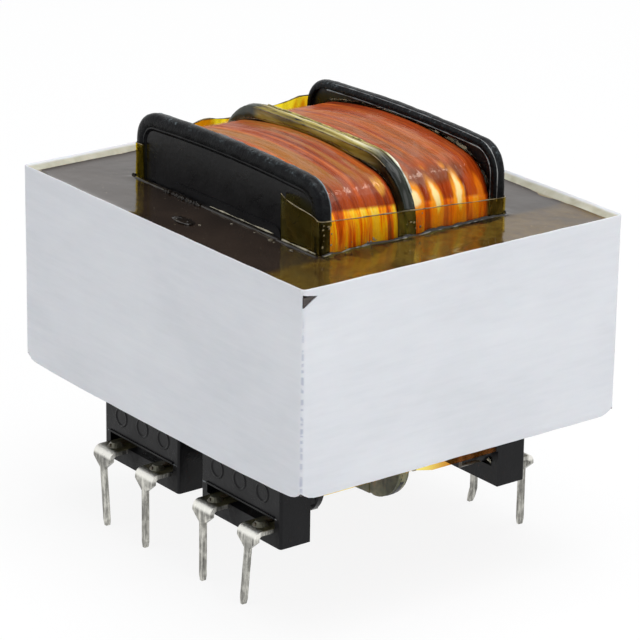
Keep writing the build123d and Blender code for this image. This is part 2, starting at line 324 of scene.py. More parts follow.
def core_varnish():
    """Dark brown varnish that pools on the core's top."""
    s = Shade("core_varnish", ior=1.45)
    cloud = s.noise(0.12, 3.0, 0.6, 0.5, 2.0)
    fine = s.noise(1.3, 3.0, 0.6, 0.2, 9.0)
    speck = s.noise(3.0, 2.0, 0.5, 0.0, 15.0)
    colour = s.ramp(cloud, (0.3, (0.017, 0.011, 0.008)), (0.7, (0.032, 0.021, 0.015)))
    amber = s.ramp(fine, (0.3, (0.06, 0.03, 0.004)), (0.7, (0.11, 0.066, 0.01)))
    pool = s.times(s.span(s.axis(0), 15.6, 17.0), s.span(cloud, 0.25, 0.6, 0.35, 1.0))
    colour = s.blend(pool, colour, amber)
    colour = s.blend(s.span(speck, 0.72, 0.78, 0.0, 0.5), colour, (0.25, 0.22, 0.15))
    s.set(Base_Color=colour, Roughness=s.span(fine, 0.35, 0.75, 0.05, 0.16))
    s.set(Normal=s.bump(fine, 0.02, 0.35), Specular_Tint=(0.63, 0.575, 0.535))
    return s.material


def tape_white():
    """White paper-backed tape with faint streaks along the wrap."""
    s = Shade("tape_white", ior=1.45)
    x, y, z = s.axis(0), s.axis(1), s.axis(2)
    streak = s.noise((0.22, 0.22, 1.8), 4.0, 0.6)
    fleck = s.noise(0.9, 5.0, 0.65, 0.0, 5.0)
    cloud = s.noise((0.07, 0.07, 0.12), 3.0, 0.5, 0.3, 8.0)
    tone = s.plus(s.times(streak, 0.35), s.times(cloud, 0.65))
    white = s.ramp(tone, (0.3, (0.6, 0.615, 0.645)), (0.52, (0.66, 0.67, 0.7)),
                   (0.72, (0.7, 0.71, 0.735)))
    white = s.blend(s.span(fleck, 0.68, 0.8, 0.0, 0.35), white, (0.6, 0.61, 0.64))
    inside = s.times(s.span(s.size(x), 23.8, 23.45), s.span(s.size(y), 19.85, 19.5))
    lip = s.times(inside, s.span(z, 35.0, 36.0))
    stained = s.ramp(s.noise(0.5, 3.0, 0.6, 0.3, 3.0),
                     (0.3, (0.33, 0.31, 0.22)), (0.7, (0.5, 0.49, 0.4)))
    low_edge = s.times(lip, s.span(z, 36.36, 36.16))
    colour = s.blend(lip, white, stained)
    colour = s.blend(low_edge, colour, (0.16, 0.1, 0.03))
    # Painted shade: grey-blue dashes along the crease at the tape's front corner.
    crease_shade_dashes = s.span(s.noise((0.3, 0.3, 1.6), 3.0, 0.6, 0.0, 17.0), 0.47, 0.56, 0.0, 0.75)
    crease = s.times(s.span(s.minus(x, y), 43.62, 43.7), crease_shade_dashes)
    colour = s.blend(s.times(crease, s.span(z, 34.5, 32.5)), colour, (0.3, 0.33, 0.45))
    s.set(Base_Color=colour, Roughness=s.span(fleck, 0.3, 0.7, 0.45, 0.62))
    s.set(Normal=s.bump(streak, 0.025, 0.3, s.bump(fleck, 0.03, 0.35)))
    s.set(Subsurface_Weight=0.06, Subsurface_Scale=0.6 * MM)
    return s.material


def copper_wire(name, seed, wire_step, tan_share, side_glow_stops, film_glow_stops, painted_spots):
    """Enamelled copper under amber varnish: tan bands on the crown, with painted glow on the sides and below
    the film line.

    Each painted spot has its middle and half width along the coil, lowest and highest place, colour and
    share; most are painted highlights and glow, a few darker or tan patches.
    """
    s = Shade(name, ior=1.45)
    y, z = s.axis(1), s.axis(2)
    x = s.size(s.axis(0))
    streak = s.noise((0.04, 1.9, 0.04), 5.0, 0.66, 0.0, seed)
    wide = s.noise((0.03, 0.55, 0.03), 3.0, 0.5, 0.3, seed + 5.0)
    patch = s.noise((0.16, 0.35, 0.16), 3.0, 0.6, 0.5, seed + 9.0)
    top = s.ramp(streak, (0.32, (0.085, 0.012, 0.003)), (0.45, (0.25, 0.038, 0.008)),
                 (0.56, (0.4, 0.08, 0.016)), (0.68, (0.56, 0.2, 0.045)))
    top = s.blend(s.span(wide, 0.5, 0.6, 0.0, tan_share), top, (0.33, 0.15, 0.028))
    # Pale pinkish patches on the crown: a painted sheen.
    top = s.blend(s.span(patch, 0.56, 0.7, 0.0, 0.4), top, (0.3, 0.13, 0.075))
    crackle = s.noise((0.35, 1.4, 0.35), 3.0, 0.6, 0.8, seed + 14.0)
    crack = s.span(s.size(s.minus(crackle, 0.5)), 0.01, 0.002, 0.0, 0.6)
    top = s.blend(crack, top, (0.09, 0.025, 0.01))
    glow = s.noise((0.02, 1.15, 0.09), 4.0, 0.6, 0.2, seed + 2.0)
    # Painted glow: the sides, where light shines through the amber varnish, are painted in glowing orange.
    side_glow_share = s.times(s.span(z, 42.9, 40.8), s.span(x, 8.0, 13.0), clamp=True)
    colour = s.blend(side_glow_share, top, s.ramp(glow, *side_glow_stops))
    # Painted glow: below the film's line the coil is painted bright yellow-orange, for light that comes
    # through the film.
    film_line = s.plus(z, s.times(y, 0.075))
    low = s.times(s.span(film_line, 39.25, 38.85), s.span(x, 12.5, 14.0))
    colour = s.blend(low, colour, s.ramp(glow, *film_glow_stops))
    colour = s.blend(s.span(patch, 0.6, 0.74, 0.0, 0.3), colour, (0.2, 0.035, 0.006))
    # Painted spots: mostly painted highlights with painted glow round them, a few darker or tan patches.
    for middle, reach, lowest, highest, tone, share in painted_spots:
        wavy_y = s.plus(y, s.times(s.minus(patch, 0.5), 1.6))
        across = s.times(s.minus(wavy_y, middle), 1 / reach)
        upward = s.times(s.minus(z, (lowest + highest) / 2), 2 / (highest - lowest))
        distance = s.plus(s.times(across, across), s.times(upward, upward))
        painted_spot_mask = s.span(distance, 1.1, 0.25, 0.0, share)
        colour = s.blend(s.times(painted_spot_mask, s.span(x, 11.0, 12.5)), colour, tone)
    wires = math_step(s.tree, "SINE", s.times(y, 2 * pi / wire_step), 0.0)
    s.set(Base_Color=colour, Roughness=s.span(streak, 0.3, 0.7, 0.36, 0.55), Specular_IOR_Level=0.08)
    s.set(Normal=s.bump(wires, 0.02, 0.5, s.bump(streak, 0.06, 0.5)))
    return s.material


def clear_film(name, tint, gloss, crease_scale, crease_depth, stain=None):
    """Clear or amber film: tinted where it is looked through, with a gloss that grows at grazing angles."""
    s = Shade(name, 0.07, 1.0)
    crease = s.noise(crease_scale, 3.0, 0.55, 0.5, 6.0)
    s.set(Base_Color=(0.95, 0.93, 0.88), Normal=s.bump(crease, crease_depth, 0.5))
    uneven = s.span(s.noise((0.25, 0.7, 0.25), 3.0, 0.6, 0.6, 11.0), 0.4, 0.62, 0.45, 1.3)
    grazing = s.node("LayerWeight", {"Blend": 0.33}, "Fresnel")
    share = s.times(grazing, s.times(uneven, gloss), clamp=True)
    if stain is not None:
        cloud = s.noise((0.35, 0.35, 0.2), 3.0, 0.6, 0.5, 1.0)
        tint = s.blend(s.span(cloud, 0.45, 0.65), tint, stain)
        foot = s.times(s.span(s.axis(2), 12.4, 11.6), s.span(s.axis(1), 1.0, 7.0))
        tint = s.blend(foot, tint, (0.72, 0.4, 0.1))
    s.see_through(tint, share)
    return s.material


def divider_varnish():
    """Olive-yellow film and varnish over the divider's rim, with a painted highlight along the rim and
    painted light on the lower part.
    """
    s = Shade("divider_varnish", 0.16, ior=1.45)
    streak = s.noise((0.06, 2.6, 0.5), 4.0, 0.6, 0.2, 2.0)
    cloud = s.noise((0.3, 0.6, 0.3), 3.0, 0.6, 0.4, 6.0)
    far = s.span(s.axis(0), 6.5, 12.0)
    left = s.span(s.axis(0), -8.5, -10.0)
    # The palest stop of the olive streaks is a painted highlight along the rim.
    near = s.ramp(streak, (0.34, (0.05, 0.036, 0.006)), (0.47, (0.27, 0.2, 0.026)),
                  (0.58, (0.44, 0.36, 0.1)), (0.68, (0.7, 0.66, 0.42)))
    dark = s.ramp(cloud, (0.35, (0.002, 0.003, 0.002)), (0.55, (0.008, 0.012, 0.006)),
                  (0.72, (0.08, 0.1, 0.07)))
    hump = s.ramp(cloud, (0.35, (0.012, 0.016, 0.01)), (0.6, (0.045, 0.055, 0.038)))
    colour = s.blend(left, s.blend(far, near, dark), hump)
    # The lower part, olive film, is painted lighter with a pale yellow left end: painted light for light
    # shining through the film there.
    low = s.ramp(cloud, (0.38, (0.05, 0.05, 0.02)), (0.52, (0.13, 0.135, 0.065)),
                 (0.62, (0.22, 0.2, 0.1)), (0.72, (0.45, 0.21, 0.04)))
    low = s.blend(s.span(s.axis(0), 9.5, 7.5, 0.0, 0.8), low, (0.8, 0.78, 0.22))
    colour = s.blend(s.span(s.axis(2), 15.0, 12.0), colour, low)
    s.set(Base_Color=colour, Normal=s.bump(streak, 0.1, 0.6, s.bump(cloud, 0.15, 0.6)))
    s.set(Specular_IOR_Level=0.25, Coat_Weight=0.15, Coat_Roughness=0.06)
    return s.material


def tinned_metal():
    """Tin-plated sheet with drawn streaks and a painted highlight on the bends; the tabs carry brown flux."""
    s = Shade("tinned_metal")
    streak = s.noise((3.2, 3.2, 0.35), 4.0, 0.65)
    cloud = s.noise(0.9, 4.0, 0.6, 0.5, 4.0)
    tone = s.plus(s.times(streak, 0.65), s.times(cloud, 0.35))
    tin = s.ramp(tone, (0.32, (0.075, 0.072, 0.068)), (0.48, (0.28, 0.275, 0.25)),
                 (0.62, (0.7, 0.69, 0.63)), (0.75, (0.9, 0.89, 0.84)))
    y = s.size(s.axis(1))
    z = s.axis(2)
    tab = s.times(s.span(y, 17.3, 17.0), s.span(z, 8.25, 8.38))
    # The bends are painted near white: a painted highlight.
    bend_highlight = s.times(s.span(y, 17.2, 17.5), s.span(z, 7.5, 7.9))
    tin = s.blend(s.times(bend_highlight, 0.85), tin, (0.93, 0.92, 0.86))
    flux = s.ramp(cloud, (0.35, (0.03, 0.026, 0.012)), (0.6, (0.1, 0.09, 0.045)),
                  (0.8, (0.4, 0.37, 0.27)))
    s.set(Base_Color=s.blend(tab, tin, flux), Metallic=s.span(tab, 0.0, 1.0, 0.9, 0.2))
    s.set(Roughness=s.span(tone, 0.3, 0.7, 0.26, 0.46), Normal=s.bump(tone, 0.06, 0.7))
    return s.material


def solder_metal(name, base, metallic, roughness):
    """Solder, or a tinned wire under flux."""
    s = Shade(name, roughness, metallic)
    lump = s.noise(2.2, 4.0, 0.6, 0.4)
    colour = s.ramp(lump, (0.3, tuple(c * 0.35 for c in base)), (0.7, base))
    s.set(Base_Color=colour, Normal=s.bump(lump, 0.08, 0.7), Coat_Weight=0.4, Coat_Roughness=0.1)
    return s.material


def clear_amber(name, tint, least):
    """Drops of varnish: tinted clear, with more of the surface at grazing angles."""
    s = Shade(name, 0.05)
    lump = s.noise(1.5, 3.0, 0.5)
    s.set(Base_Color=s.ramp(lump, (0.3, (0.1, 0.08, 0.05)), (0.7, (0.42, 0.38, 0.3))))
    s.set(Normal=s.bump(lump, 0.05, 0.4))
    grazing = s.node("LayerWeight", {"Blend": 0.4}, "Fresnel")
    share = s.plus(s.times(grazing, 0.9), least, clamp=True)
    s.see_through(tint, share)
    return s.material


def varnish_and_highlight_line(name, colour, far_colour):
    """Thin glossy lines: varnish and film edges, and painted highlight lines along rims, ledges and feet; of
    another colour towards +X.
    """
    s = Shade(name, 0.12)
    grain = s.noise(0.9, 4.0, 0.65, 0.3, 5.0)
    tone = s.blend(s.span(s.axis(0), 9.0, 13.0), colour, far_colour)
    faint = s.blend(0.7, tone, (0.0, 0.0, 0.0))
    s.set(Base_Color=s.blend(s.span(grain, 0.36, 0.58), faint, tone))
    return s.material


def varnish_edge(name, specular):
    """Thick dark varnish, almost black and very glossy."""
    s = Shade(name, 0.04)
    lump = s.noise(1.1, 3.0, 0.5)
    s.set(Base_Color=s.ramp(lump, (0.3, (0.004, 0.003, 0.003)), (0.7, (0.016, 0.011, 0.007))))
    s.set(Normal=s.bump(lump, 0.06, 0.4), Specular_IOR_Level=specular)
    return s.material


BLACK = black_plastic()
RIM = rim_plastic()
STEEL = core_steel()
VARNISH = core_varnish()
TAPE = tape_white()
# Colours of the painted glow on the coils' sides and, for YELLOW and PALE, below the film line.
DARK_RED, RED, ORANGE = (0.055, 0.006, 0.001), (0.22, 0.028, 0.003), (0.5, 0.085, 0.004)
YELLOW, PALE = (1.0, 0.62, 0.03), (1.0, 0.93, 0.45)
COPPER_FRONT = copper_wire(
    "copper_front", 1.0, 0.31, 0.85,
    [(0.32, DARK_RED), (0.45, RED), (0.56, (0.36, 0.062, 0.01)), (0.66, ORANGE), (0.76, (0.8, 0.32, 0.05))],
    [(0.34, (0.3, 0.035, 0.001)), (0.44, (0.75, 0.15, 0.004)), (0.5, (1.0, 0.45, 0.01)),
     (0.57, (1.0, 0.8, 0.04)), (0.68, PALE)],
    [(-2.3, 0.45, 39.9, 42.6, (0.75, 0.42, 0.06), 0.7), (-9.2, 0.8, 40.4, 43.0, (0.5, 0.22, 0.1), 0.7)])
COPPER_REAR = copper_wire(
    "copper_rear", 12.0, 0.42, 0.3,
    [(0.32, (0.15, 0.016, 0.001)), (0.45, (0.28, 0.035, 0.002)), (0.56, (0.42, 0.065, 0.003)),
     (0.7, (0.62, 0.13, 0.004))],
    [(0.32, (0.3, 0.035, 0.002)), (0.44, (0.65, 0.11, 0.003)), (0.56, (1.0, 0.3, 0.006)), (0.7, YELLOW)],
    # Rear coil's painted spots: a dark brown patch, a tan blob, painted highlights with painted glow round
    # them, and orange painted glow.
    [(4.6, 5.0, 39.9, 42.0, (0.15, 0.038, 0.009), 0.75),
     (1.2, 1.3, 37.6, 41.0, (1.0, 0.42, 0.02), 0.9), (1.2, 0.75, 38.4, 40.2, (1.0, 0.95, 0.6), 1.0),
     (1.2, 0.75, 40.7, 42.3, (0.55, 0.29, 0.15), 0.9),
     (3.7, 0.85, 34.5, 41.2, (1.0, 0.45, 0.02), 0.9), (3.7, 0.38, 37.2, 40.6, (1.0, 0.93, 0.5), 1.0),
     (6.7, 0.8, 34.5, 41.4, (1.0, 0.45, 0.02), 0.9), (6.7, 0.33, 37.0, 40.9, (1.0, 0.92, 0.5), 1.0),
     (9.3, 0.6, 36.5, 40.6, (0.85, 0.25, 0.01), 0.8),
     (4.0, 0.35, 41.2, 42.7, (0.95, 0.4, 0.03), 0.7), (6.2, 0.35, 41.0, 42.5, (0.95, 0.42, 0.04), 0.7)])
WRAP = clear_film("clear_wrap", (0.99, 0.95, 0.9), 0.075, (0.5, 1.6, 0.5), 0.06)
FILM_RIGHT = clear_film("amber_film_right", (0.995, 0.92, 0.46), 0.17, (0.35, 1.1, 0.18), 0.08,
                        (0.97, 0.83, 0.34))
FILM_LEFT = clear_film("amber_film_left", (0.95, 0.84, 0.15), 0.25, (0.35, 1.6, 0.3), 0.1,
                       (0.74, 0.44, 0.04))
WISP = clear_film("varnish_wisp", (0.8, 0.74, 0.62), 0.22, (1.2, 1.6, 1.2), 0.1)
DIVIDER = divider_varnish()
TIN = tinned_metal()
SOLDER = solder_metal("solder_tin", (0.13, 0.125, 0.085), 0.5, 0.36)
LEAD = solder_metal("lead_wire", (0.11, 0.08, 0.045), 0.2, 0.36)
BEAD = clear_amber("varnish_bead", (0.85, 0.75, 0.5), 0.4)
EDGE = varnish_edge("varnish_edge", 0.45)
LUMP = varnish_edge("varnish_lump", 0.2)
# Grey and pale lines are painted highlights, blue ones varnish wisps with painted glints, yellow ones a film
# edge with a painted highlight; tan ones are film and varnish edges.
GREY_HIGHLIGHT_LINE = varnish_and_highlight_line("painted_highlight_grey", (0.16, 0.18, 0.19), (0.24, 0.25, 0.25))
BLUE_WISP_AND_GLINT = varnish_and_highlight_line("blue_wisp_and_glint", (0.1, 0.15, 0.17), (0.16, 0.21, 0.23))
YELLOW_EDGE_AND_HIGHLIGHT = varnish_and_highlight_line("yellow_edge_and_highlight", (0.55, 0.47, 0.12), (0.75, 0.76, 0.62))
PALE_HIGHLIGHT_LINE = varnish_and_highlight_line("painted_highlight_pale", (0.5, 0.46, 0.34), (0.52, 0.48, 0.36))
TAN_THREAD = varnish_and_highlight_line("varnish_thread_tan", (0.2, 0.15, 0.06), (0.24, 0.19, 0.1))


def dress(name, material):
    """Put a material on a solid that keeps its shape."""
    obj = nodes[name]
    if not obj.material_slots:
        obj.data.materials.append(material)
    for material_slot in obj.material_slots:
        material_slot.material = material


dress("bobbin", BLACK)
dress("e_laminations", STEEL)
dress("i_laminations", STEEL)
for number in range(1, 9):
    dress(f"pin_{number}", TIN)
    dress(f"lead_{number}", LEAD)
    dress(f"solder_{number}", SOLDER)


# Tape band

def rectangle_path(half_x, half_y, radius, step, corner_steps):
    """Corner or wall places round a rounded rectangle, outward directions, and whether it is a corner."""
    path = []
    corners = [(1, -1, -90), (1, 1, 0), (-1, 1, 90), (-1, -1, 180)]
    for sx, sy, start in corners:
        cx, cy = sx * (half_x - radius), sy * (half_y - radius)
        for i in range(corner_steps + 1):
            angle = radians(start + 90.0 * i / corner_steps)
            path.append((cx, cy, cos(angle), sin(angle), True))
        following = corners[(corners.index((sx, sy, start)) + 1) % 4]
        ex, ey = following[0] * (half_x - radius), following[1] * (half_y - radius)
        length = hypot(ex - cx, ey - cy)
        count = int(length / step)
        angle = radians(start + 90.0)
        for i in range(1, count):
            share = i / count
            path.append((cx + (ex - cx) * share, cy + (ey - cy) * share, cos(angle), sin(angle), False))
    return path


def band_profile():
    """The tape's section: distance inward, height, from the lower lip to the upper one."""
    section = [(LIP_WIDTH, 0.34), (1.1, 0.27), (0.7, 0.14), (0.4, 0.03), (0.16, 0.0), (0.04, 0.05),
               (0.0, 0.16)]
    steps = 34
    height = BAND_TOP - BAND_BOTTOM
    for i in range(1, steps):
        section.append((0.0, 0.16 + (height - 0.32) * i / steps))
    section += [(0.0, height - 0.16), (0.02, height - 0.05), (0.08, height), (0.18, height - 0.05)]
    section += [(0.45, height - 0.22), (0.8, height - 0.44), (1.15, height - 0.65)]
    section.append((LIP_WIDTH, height - 0.72))
    return section


def make_band():
    """Tape band with soft folds and slightly wavy edges; the tear is cut later."""
    radius = 0.55
    path = rectangle_path(BAND_X, BAND_Y, radius, 0.55, 6)
    section = band_profile()
    rows = []
    for inward, rise in section:
        row = []
        edge = abs(rise / (BAND_TOP - BAND_BOTTOM) - 0.5) * 2
        for cx, cy, nx, ny, corner in path:
            bow = 0.05 * abs(noise_at(cx, cy, rise, 0.09, 5.0)) * (1 - edge ** 6)
            reach = radius - inward - 0.03 - bow
            x, y = cx + nx * reach, cy + ny * reach
            if corner and reach < 0:
                x = cx + copysign(1, cx) * reach
                y = cy + copysign(1, cy) * reach
            wave = 0.05 * noise_at(x, y, rise * 0.3, 0.11, 3.0)
            z = BAND_BOTTOM + rise + edge ** 4 * (wave + 0.035 * noise_at(x, y, 0, 0.5, 8.0))
            to_corner = hypot(abs(x) - BAND_X, abs(y) - BAND_Y)
            if rise < 3.0:
                z += 0.75 * exp(-(to_corner / 0.9) ** 2) * (1 - rise / 3.0)
                if y < -18.0:
                    z -= 0.3 * max(0.0, 1 - (x / 23.5) ** 4) * (1 - rise / 3.0)
            row.append((x, y, z))
        rows.append(row)
    return grid_object("tape_band", rows, close_columns=True)


def cut_tear(obj, corners):
    """Open a triangular tear in the tape's +X wall, its corners given by y and z."""
    work = bmesh.new()
    work.from_mesh(obj.data)
    points = [Vector((BAND_X * MM, y * MM, z * MM)) for y, z in corners]
    middle = sum(points, Vector()) / 3
    cuts = []
    for start, end in zip(points, points[1:] + points[:1]):
        inward = (end - start).cross(Vector((1, 0, 0))).normalized()
        if (middle - start).dot(inward) < 0:
            inward.negate()
        cuts.append((start, inward))
    near = [f for f in work.faces if f.calc_center_median().x > 23.2 * MM
            and f.calc_center_median().y < -17.0 * MM and f.calc_center_median().z > 33.5 * MM]
    for start, inward in cuts:
        parts = list(near)
        for face in near:
            parts += [*face.edges, *face.verts]
        parts = list(dict.fromkeys(parts))
        cut = bmesh.ops.bisect_plane(work, geom=parts, plane_co=start, plane_no=inward, dist=1e-7)
        near = [g for g in cut["geom"] if isinstance(g, bmesh.types.BMFace)]
    gone = [f for f in near if f.calc_center_median().x > 23.7 * MM
            and all((f.calc_center_median() - start).dot(inward) > 0 for start, inward in cuts)]
    bmesh.ops.delete(work, geom=gone, context="FACES")
    work.to_mesh(obj.data)
    work.free()


band = make_band()
face_outward(band)
cut_tear(band, [(-20.5, 36.45), (-18.3, 36.05), (-20.3, 34.75)])
thicken(band, 0.15, -1.0, even=False)
smooth(band, 40)
place(band, TAPE, "tape_white", "core_band")


# Varnish on the core's top

def make_top_coat():
    """Varnish sheet on the core's top, raised where it meets the lips and the bobbin."""
    outer_x, outer_y = 22.95, 18.98
    inner_x, inner_y = 15.62, 11.62
    rings, per_side = 30, 64
    corners = [(1, -1), (1, 1), (-1, 1), (-1, -1)]
    rows = []
    for i in range(rings + 1):
        share = 0.5 - 0.5 * cos(pi * (i / rings))
        half_x = inner_x + (outer_x - inner_x) * share
        half_y = inner_y + (outer_y - inner_y) * share
        inner_gap = share * (outer_x - inner_x)
        outer_gap = (1 - share) * (outer_x - inner_x)
        row = []
        for (sx, sy), (ex, ey) in zip(corners, corners[1:] + corners[:1]):
            for j in range(per_side):
                t = j / per_side
                x = (sx + (ex - sx) * t) * half_x
                y = (sy + (ey - sy) * t) * half_y
                rise = 0.12 * exp(-inner_gap / 0.35) + 0.12 * exp(-outer_gap / 0.3)
                rise += 0.025 * noise_at(x, y, 0, 0.35, 2.0) + 0.012 * noise_at(x, y, 0, 1.4, 6.0)
                row.append((x, y, CORE_TOP + 0.06 + rise))
        rows.append(row)
    return grid_object("varnish_coat", rows, close_columns=True)


coat = make_top_coat()
face_outward(coat)
thicken(coat, 0.05)
smooth(coat, 60)
place(coat, VARNISH, "core_steel")


# Coils

def quarter_outline(grow):
    """One quarter of a coil's grown outline, from the side's middle to the crown's: places and directions."""
    side_end = atan2(CORNER_Z, SIDE_RADIUS - SIDE_REACH + CORNER_X)
    crown_start = pi / 2 - atan2(CORNER_X, CROWN_RADIUS - CROWN_REACH + CORNER_Z)
    arcs = [(SIDE_REACH - SIDE_RADIUS, 0.0, SIDE_RADIUS, 0.0, side_end, 14),
            (CORNER_X, CORNER_Z, CORNER_RADIUS, side_end, crown_start, 16),
            (0.0, CROWN_REACH - CROWN_RADIUS, CROWN_RADIUS, crown_start, pi / 2, 14)]
    points = []
    for centre_x, centre_z, radius, low, high, steps in arcs:
        for i in range(steps):
            angle = low + (high - low) * i / steps
            dx, dz = cos(angle), sin(angle)
            points.append((centre_x + dx * (radius + grow), centre_z + dz * (radius + grow), dx, dz))
    points.append((0.0, CROWN_REACH + grow, 0.0, 1.0))
    return points


def whole_outline(grow=0.0):
    """Points and directions all round the coil, without repeats."""
    first = quarter_outline(grow)
    second = [(-x, z, -dx, dz) for x, z, dx, dz in reversed(first[:-1])]
    upper = first + second
    lower = [(-x, -z, -dx, -dz) for x, z, dx, dz in upper[1:-1]]
    return upper + lower


def ridge_height(y, x, z, pitch, seed, depth):
    """Height of the wire bands at one place, from -depth to 0."""
    drift = 0.25 * noise_at(x * 0.5, y * 0.2, z * 0.5, 0.12, seed)
    phase = (y + drift) / pitch
    wobble = noise_at(floor(phase) * 3.1, 0, 0, 1.0, seed + 2.0)
    arch = abs(sin(pi * phase)) ** 0.6
    slow = 0.5 + 0.5 * noise_at(x * 0.3, y, z * 0.3, 0.35, seed + 4.0)
    return -depth * (1 - arch) * (0.7 + 0.5 * wobble) - 0.5 * depth * slow


def make_coil(name, limits, pitch, seed, depth):
    """Ring of wound wire with irregular bands."""
    steps = 110
    low, high = limits
    rows = []
    for x, z, dx, dz in whole_outline():
        row = []
        for i in range(steps + 1):
            y = low + (high - low) * i / steps
            edge = min(y - low, high - y)
            round_off = -0.25 * exp(-edge / 0.18)
            grow = ridge_height(y, x, z, pitch, seed, depth) + round_off
            row.append((x + dx * grow, y, CORE_MIDDLE + z + dz * grow))
        inner_x = max(-TUBE_X, min(TUBE_X, x * TUBE_X / 14.0))
        inner_z = max(-TUBE_Z, min(TUBE_Z, z * TUBE_Z / 15.0))
        row.append((inner_x, high, CORE_MIDDLE + inner_z))
        row.append((inner_x, low, CORE_MIDDLE + inner_z))
        rows.append(row)
    return finished(grid_object(name, rows, close_rows=True, close_columns=True), 50)


primary_coil = make_coil("primary_coil", FRONT_COIL, 1.05, 3.0, 0.16)
secondary_coil = make_coil("secondary_coil", REAR_COIL, 1.35, 21.0, 0.07)
place(primary_coil, COPPER_FRONT, "copper_wire", "primary_winding")
place(secondary_coil, COPPER_REAR, "copper_wire", "secondary_winding")


def make_wrap(name, limits, seed, wrinkle):
    """Clear wrap over a coil, with wrinkles that run round and across it."""
    margin = 0.05
    low, high = limits[0] + margin, limits[1] - margin
    steps = 64
    thickness = 0.05
    rows = []
    for x, z, dx, dz in whole_outline():
        outer, inner = [], []
        for i in range(steps + 1):
            y = low + (high - low) * i / steps
            grow = 0.08 + wrinkle * (0.5 + 0.5 * noise_at(x * 0.35, y, z * 0.35, 0.8, seed))
            crease = noise_at(x + y * 0.7, y * 0.5, z, 0.45, seed + 3.0)
            grow += wrinkle * max(0.0, 1 - abs(crease) * 9.0)
            outer.append((x + dx * grow, y, CORE_MIDDLE + z + dz * grow))
            grow -= thickness
            inner.append((x + dx * grow, y, CORE_MIDDLE + z + dz * grow))
        rows.append(outer + inner[::-1])
    return finished(grid_object(name, rows, close_rows=True, close_columns=True), 50)


primary_wrap = make_wrap("primary_clear_wrap", FRONT_COIL, 5.0, 0.035)
secondary_wrap = make_wrap("secondary_clear_wrap", REAR_COIL, 9.0, 0.05)
place(primary_wrap, WRAP, "clear_wrap", "primary_wrap")
place(secondary_wrap, WRAP, "clear_wrap", "secondary_wrap")


# Slot films

def film_path(side, front_flap):
    """Plan of a film, with outward directions: front flap, front fold, side, rear fold, rear flap."""
    end_x, end_y = FILM_X - FILM_FOLD, FILM_Y - FILM_FOLD
    plan = []

    def add_fold(start, middle_y):
        """Round one fold."""
        for i in range(6):
            angle = radians(start + 90 * i / 6)
            dx, dy = cos(angle), sin(angle)
            plan.append((end_x + FILM_FOLD * dx, middle_y + FILM_FOLD * dy, dx, dy, "fold"))

    for i in range(14):
        plan.append((end_x - front_flap * (1 - i / 14), -FILM_Y, 0.0, -1.0, "front"))
    add_fold(-90, -end_y)
    for i in range(60):
        plan.append((FILM_X, -end_y + 2 * end_y * i / 60, 1.0, 0.0, "side"))
    add_fold(0, end_y)
    for i in range(15):
        plan.append((end_x - WIDE_FLAP * i / 14, FILM_Y, 0.0, 1.0, "rear"))
    return [(side * px, py, side * nx, ny, kind) for px, py, nx, ny, kind in plan]


def make_film(name, side, front_flap, top_of, seed, bow, foot_drop=0.0):
    """Slot film with a wavy top edge; its foot can hang lower behind the divider."""
    levels = [11.2, 13.0, 16.0, 20.0, 26.0, 31.0, 34.0, 35.4, 36.0]
    flap_foot = 16.2
    upper_steps = 14
    rows = []
    for i in range(len(levels) + upper_steps):
        row = []
        for x, y, nx, ny, kind in film_path(side, front_flap):
            if i < len(levels):
                z = levels[i] - (foot_drop * min(1.0, max(0.0, y - 0.5) / 2.5) if i == 0 else 0.0)
                if kind in ("front", "rear") or (kind == "fold" and abs(y) > 11.6):
                    z = max(z, flap_foot + 0.01 * i)
            else:
                share = (i - len(levels) + 1) / upper_steps
                z = levels[-1] + (top_of(x * side, y, kind) - levels[-1]) * share
            lift = max(0.0, (z - FREE_FROM) / FREE_HEIGHT)
            out = bow(x * side, y, kind, lift) + 0.04 * noise_at(x, y, z, 0.5, seed) * min(1.0, lift * 3)
            row.append((x + nx * out, y + ny * out, z))
        rows.append(row)
    film = grid_object(name, rows)
    thicken(film, 0.1)
    return finished(film, 45)


def right_top(x, y, kind):
    """Height of the right film's top edge."""
    if kind == "front":
        t = (x - FLAP_START) / WIDE_FLAP
        return 41.0 - 0.25 * t - 0.95 * t ** 3 + 0.06 * noise_at(x, 0, 0, 0.9, 2.0)
    if kind == "rear":
        return 38.0
    t = (y + FILM_REACH) / (2 * FILM_REACH)
    return 39.75 - 1.75 * t + 0.07 * noise_at(0, y, 0, 0.5, 4.0)


def right_bow(x, y, kind, lift):
    """How far the right film leans out near its top."""
    if kind == "front":
        t = min(1.0, max(0.0, (x - FLAP_START) / WIDE_FLAP))
        return 0.6 * lift ** 2 * sin(pi * t)
    return 0.05 * lift


def left_top(x, y, kind):
    """Height of the left film's top edge, with a hump on each side of the divider."""
    if kind == "front":
        return 40.0 + 0.03 * (15.3 - x)
    if kind == "rear":
        return 41.0
    t = (y + FILM_REACH) / (2 * FILM_REACH)
    rear_hump = max(0.0, t - 0.55) / 0.35 * (1 if t < 0.9 else 1 - (t - 0.9) * 3)
    front_hump = 0.65 * max(0.0, 1 - abs(t - 0.36) / 0.26)
    return 40.1 + 0.2 * t + rear_hump + front_hump + 0.25 * noise_at(0, y, 0, 0.28, 12.0)


def left_bow(x, y, kind, lift):
    """How far the left film leans at its top."""
    if kind == "front":
        return 0.12 * lift
    return -0.1 * lift + 0.25 * lift * noise_at(0, y, 0, 0.35, 5.0)


right_film = make_film("slot_film_right_sheet", 1, WIDE_FLAP, right_top, 3.0, right_bow, 0.55)
left_film = make_film("slot_film_left_sheet", -1, NARROW_FLAP, left_top, 7.0, left_bow)
place(right_film, FILM_RIGHT, "amber_film", "slot_film_right")
place(left_film, FILM_LEFT, "amber_film", "slot_film_left")


